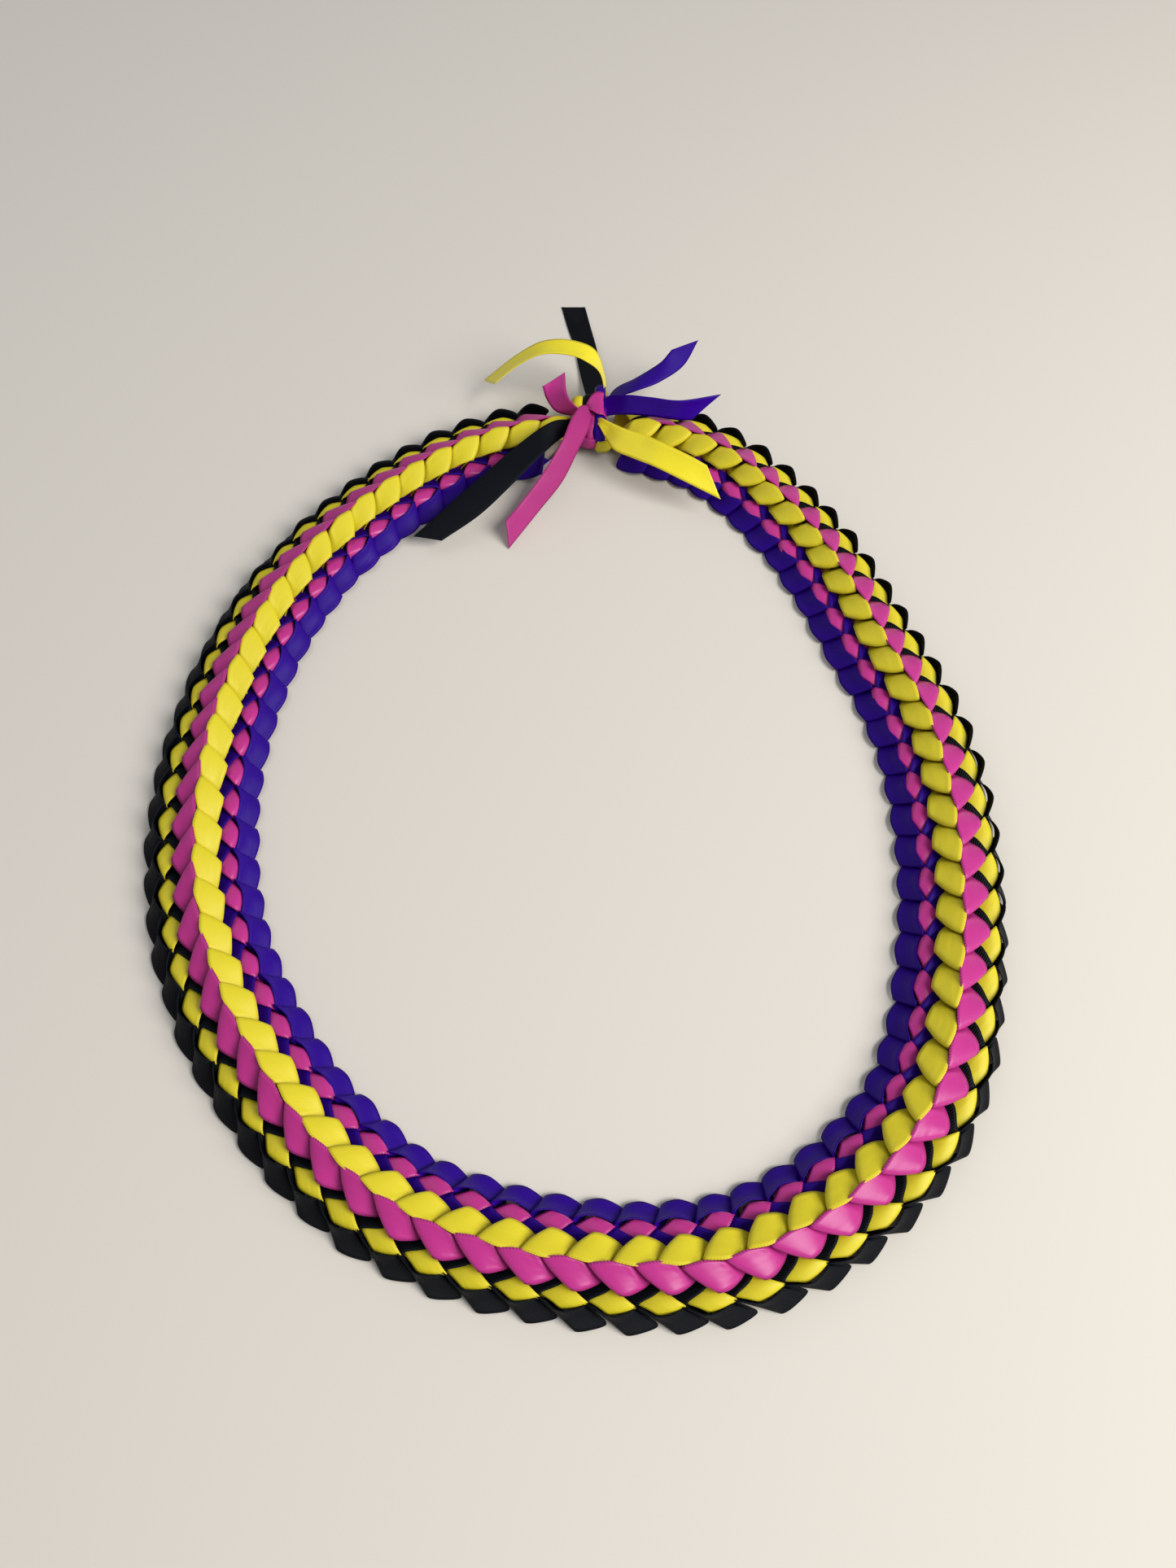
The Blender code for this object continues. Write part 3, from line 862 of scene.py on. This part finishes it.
# %% Ways of the tails to the left
LEFT_TAILS = {
    "black_tail_back": [
        ((7, 162, 6), (11, 161, 8)), ((6.2, 170, 6.5), (12.5, 168.5, 9)),
        ((3.8, 181, 3.5), (12.5, 178, 7.5)), ((2.2, 191, 1.5), (11.5, 187.5, 5.5)),
        ((0.8, 200, 0.8), (10, 197, 4.5)), ((-1.2, 213, 0.5), (8.3, 210, 3)),
        ((-4.5, 227, 0.4), (5.5, 227.5, 0.6)), ((-7, 239, 0.3), (3.4, 239, 0.3)),
    ],
    "yellow_tail_back": [
        ((9, 162, 9), (12, 163, 4)), ((11.3, 168, 13.5), (12.4, 172, 6.5)),
        ((9.6, 174, 21), (11.4, 181, 14.5)), ((4, 175, 26), (7.5, 184, 24)),
        ((-2.5, 177, 27.4), (-1.5, 186.5, 26.6)), ((-13.5, 178, 27), (-13.5, 188, 25)),
        ((-22.5, 176.5, 23.5), (-24, 185.5, 20.5)), ((-33, 171.5, 18), (-38, 180, 12)),
    ],
    "pink_tail_back": [
        ((6, 158, 11), (9, 156, 9)), ((-1.5, 159.5, 12), (2.5, 156, 17.5)),
        ((-8.5, 160, 14.5), (-2.5, 158.5, 21.5)), ((-12, 163.5, 17.5), (-4, 163, 23)),
        ((-13.5, 166, 21.5), (-4.5, 170.5, 24.5)),
    ],
    "pink_tail_front": [
        ((7, 163, 13), (9, 159, 12)), ((2.4, 160, 17.2), (6.2, 156, 14.5)),
        ((-1.2, 152, 19.5), (5.2, 151, 14)), ((-6, 137, 19), (0.5, 139.5, 12.5)),
        ((-13.5, 126.5, 13), (-5.5, 129, 7)), ((-21.5, 116.5, 8.5), (-14.5, 119, 1.5)),
        ((-27, 107.5, 8.5), (-26, 100.5, 0.5)),
    ],
    "black_tail_front": [
        ((4, 158, 11), (6, 154, 9)), ((-3, 153.5, 16), (0, 150.5, 12)),
        ((-9, 150.5, 18), (-4.5, 148, 12.5)), ((-21.5, 140.5, 16.5), (-14, 134, 15.5)),
        ((-34, 126.5, 15.5), (-24.5, 122.5, 12.5)), ((-46.5, 115, 12), (-36.5, 111, 8.5)),
        ((-62, 101, 7), (-51.5, 100.5, 5)),
    ],
}
print("tails to the left:", len(LEFT_TAILS))

# %% Ways of the tails to the right
RIGHT_TAILS = {
    "purple_tail_back": [
        ((11, 163, 11), (10, 167, 7)), ((17.5, 167, 15), (15.5, 174, 12.5)),
        ((23.5, 166.5, 18.5), (24, 175, 17.5)), ((34, 171.5, 19), (33.5, 179, 21.5)),
        ((43.6, 180.3, 19.5), (36.9, 182, 23.5)), ((49.8, 192.1, 22), (38.4, 184, 24)),
    ],
    "purple_tail_right": [
        ((9, 163, 13), (11, 160, 9)), ((12.5, 164, 18), (12.5, 161, 10.5)),
        ((20, 160, 22.5), (20, 158.8, 13.5)), ((29.5, 158.2, 23), (30, 157.3, 14)),
        ((41, 157, 22.5), (39, 156, 13.5)), ((57.5, 162, 21), (46, 156, 13)),
    ],
    "yellow_tail_front": [
        ((8.2, 156, 13), (8, 154.5, 11.5)), ((9.6, 153, 17.3), (8.8, 151.8, 14.8)),
        ((13.9, 150, 17.6), (11.5, 147, 13)), ((19.7, 146, 18.2), (14.6, 139.8, 13.6)),
        ((27, 141.8, 19.2), (22, 133.8, 15)), ((33.5, 137, 20), (30, 128.5, 16)),
        ((44, 130.5, 19.5), (40.5, 123, 14.5)), ((50.5, 127, 18), (56, 117, 10)),
    ],
}
print("tails to the right:", len(RIGHT_TAILS))

# %% [markdown]
# ## Lay the tails
#
# A tail is free, so it keeps its full width and crowns only a little across. The ribs of its grosgrain could
# be left to the material, as they are round the braid, but a long flat tail shows them best. So here they are
# raised in the strip itself.

# %% Lay the tails
TAIL_CROWN = 0.3
# Between two rows: enough for a smooth bend, and for grosgrain enough to raise each rib.
SATIN_STEPS, RIBBED_STEPS = 16, 80


def edges_way(rows, crown, steps):
    """A smoothed way through rows that give the two edges alone."""
    rows = [[*left, *right, crown, 0] for left, right in rows]
    return smooth_way(rows, [steps] * len(rows))


for name, rows in {**LEFT_TAILS, **RIGHT_TAILS}.items():
    colour = name.split("_")[0]
    ribbed = colour == "black"
    way = edges_way(rows, TAIL_CROWN, RIBBED_STEPS if ribbed else SATIN_STEPS)
    piece, length = lay_ribbon(f"{name}_ribbon", way, MATERIALS[colour], ribbed=ribbed)
    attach(piece, "root")
    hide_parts(name)

# %% [markdown]
# ## The knot
#
# The eight ends are tied round each other. What shows is a pink turn that fans out over the top, with turns
# and small loops of the other ribbons beside and below it. Only these are made, each as a short ribbon of
# its own, because the rest of a pulled knot can't be seen.

# %% Ways of the large turns
# A doubled turn is folded in half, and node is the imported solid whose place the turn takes.
Turn = namedtuple("Turn", "colour crown doubled node rows")
LARGE_TURNS = {
    "knot_pink_wrap": Turn("pink", 0.6, False, "pink_turn", [
        ((2.5, 159, 11), (5, 156, 10)), ((4.6, 163.6, 16.2), (5.4, 158.6, 16)),
        ((7.4, 167.3, 17.2), (8.4, 155.6, 17)), ((10.5, 167.6, 17), (10.8, 155.6, 16.4)),
        ((12.3, 167.2, 14), (12.2, 156.4, 13)), ((12, 165, 7), (12, 157, 7)),
    ]),
    "knot_purple_turn": Turn("purple", 0.8, True, "purple_turn", [
        ((11.5, 153, 4), (7, 153, 4)), ((11.5, 149.8, 8), (6.6, 149.8, 8)),
        ((11.5, 150.8, 12), (6.6, 150.5, 12)), ((11.5, 155, 14.5), (7.2, 155, 14.5)),
        ((11.7, 163, 15.2), (7.5, 163, 15.2)), ((11.8, 170, 16), (7.5, 170, 16)),
        ((11.8, 175, 12), (7.7, 175.4, 12)), ((11.6, 172, 5), (8, 172, 5)),
    ]),
    "knot_pink_turn": Turn("pink", 0.6, True, None, [
        ((7.2, 153, 5), (3.4, 153, 5)), ((7.2, 149.8, 8.6), (3.4, 149.8, 8.6)),
        ((7.8, 152.4, 12.6), (4, 152.8, 12.6)), ((8.6, 156.6, 14), (4.5, 157.5, 14)),
        ((7, 165, 13), (3, 165, 13)), ((6.5, 167, 7), (2.5, 167, 7)),
    ]),
}
print("large turns:", len(LARGE_TURNS))

# %% Ways of the small turns
SMALL_TURNS = {
    "knot_pink_loop": Turn("pink", 0.3, True, None, [
        ((0.5, 153, 9.5), (0.5, 153, 5)), ((3, 149.8, 10), (3, 149.4, 5.2)),
        ((6.2, 149, 9.8), (6.2, 148.6, 5.2)), ((8.5, 151, 9), (8.5, 150.6, 5)),
    ]),
    "knot_yellow_loop": Turn("yellow", 0.3, True, None, [
        ((7.4, 151.5, 8.5), (7, 151, 4.5)), ((9.4, 149.3, 8.6), (8.6, 148.3, 4)),
        ((12.5, 149.4, 8.6), (12.3, 148.2, 4)), ((15, 152, 8.6), (15, 151, 4.5)),
    ]),
    "knot_yellow_turn": Turn("yellow", 0.5, True, "yellow_turn", [
        ((2, 156, 8), (-2.5, 156, 8)), ((2.2, 161, 14), (-2.3, 160.5, 13.5)),
        ((2.6, 167.5, 14.5), (-1.6, 167.5, 14)), ((2.8, 171.5, 9), (-1.4, 171.5, 9)),
    ]),
    "knot_black_turn": Turn("black", 0.4, True, None, [
        ((6.2, 157, 9), (2, 157, 9)), ((6, 162, 14), (2.1, 161.5, 14)),
        ((6.6, 168.5, 14.6), (2.8, 168, 14.6)), ((7, 172, 8), (3, 172, 8)),
    ]),
}
print("small turns:", len(SMALL_TURNS))

# %% [markdown]
# ## Lay the turns
#
# The turns are laid like the tails, but nearly all of them are doubled, as a ribbon is where it is pulled
# tight round the others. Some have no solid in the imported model, so they take nothing's place.

# %% Lay the turns of the knot
for name, turn in {**LARGE_TURNS, **SMALL_TURNS}.items():
    way = edges_way(turn.rows, turn.crown, SATIN_STEPS)
    piece, length = lay_ribbon(name, way, MATERIALS[turn.colour], doubled=turn.doubled)
    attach(piece, "root")
    if turn.node:
        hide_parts(turn.node)

# %% [markdown]
# ## Floor
#
# The lei lies on a floor. A pale and matt one is chosen, so that the black loops stand out from it and
# nothing is mirrored in it.

# %% Set the floor
FLOOR_SIZE = 6
FLOOR_COLOUR = linear(214, 208, 198)
FLOOR_ROUGHNESS = 0.8

bpy.ops.mesh.primitive_plane_add(size=FLOOR_SIZE, location=(0, 0, 0))
floor = bpy.context.object
floor.name = "floor"
paint = bpy.data.materials.new("pale_floor")
paint.use_nodes = True
floor_shader = paint.node_tree.nodes["Principled BSDF"]
floor_shader.inputs["Base Color"].default_value = FLOOR_COLOUR
floor_shader.inputs["Roughness"].default_value = FLOOR_ROUGHNESS
floor.data.materials.append(paint)
print("the floor is", FLOOR_SIZE, "m wide")

# %% [markdown]
# ## Light
#
# Soft daylight comes from a large window in front and to the right, with a weaker fill from the other side.
# Colours are shown as they are, without a film look, so that the satin keeps its strong colours.

# %% Set the lights
# Place and size in metres, power in watts, and tint.
LIGHTS = {
    "window": ((1.0, -0.5, 1.0), 0.9, 27, (1.0, 0.98, 0.95)),
    "fill": ((-0.9, 0.7, 1.2), 1.4, 4, (0.92, 0.95, 1.0)),
}
SKY_COLOUR, SKY_STRENGTH = (0.9, 0.93, 1.0, 1), 0.3

for name, (place, size, power, tint) in LIGHTS.items():
    lamp = bpy.data.lights.new(name, "AREA")
    lamp.size = size
    lamp.energy = power
    lamp.color = tint
    holder = bpy.data.objects.new(name, lamp)
    bpy.context.scene.collection.objects.link(holder)
    holder.location = place
    holder.rotation_euler = (-Vector(place)).to_track_quat("-Z", "Y").to_euler()
world = bpy.data.worlds.new("room")
world.use_nodes = True
sky = world.node_tree.nodes["Background"]
sky.inputs["Color"].default_value = SKY_COLOUR
sky.inputs["Strength"].default_value = SKY_STRENGTH
bpy.context.scene.world = world
bpy.context.scene.view_settings.view_transform = "Standard"
print("lights:", ", ".join(LIGHTS))
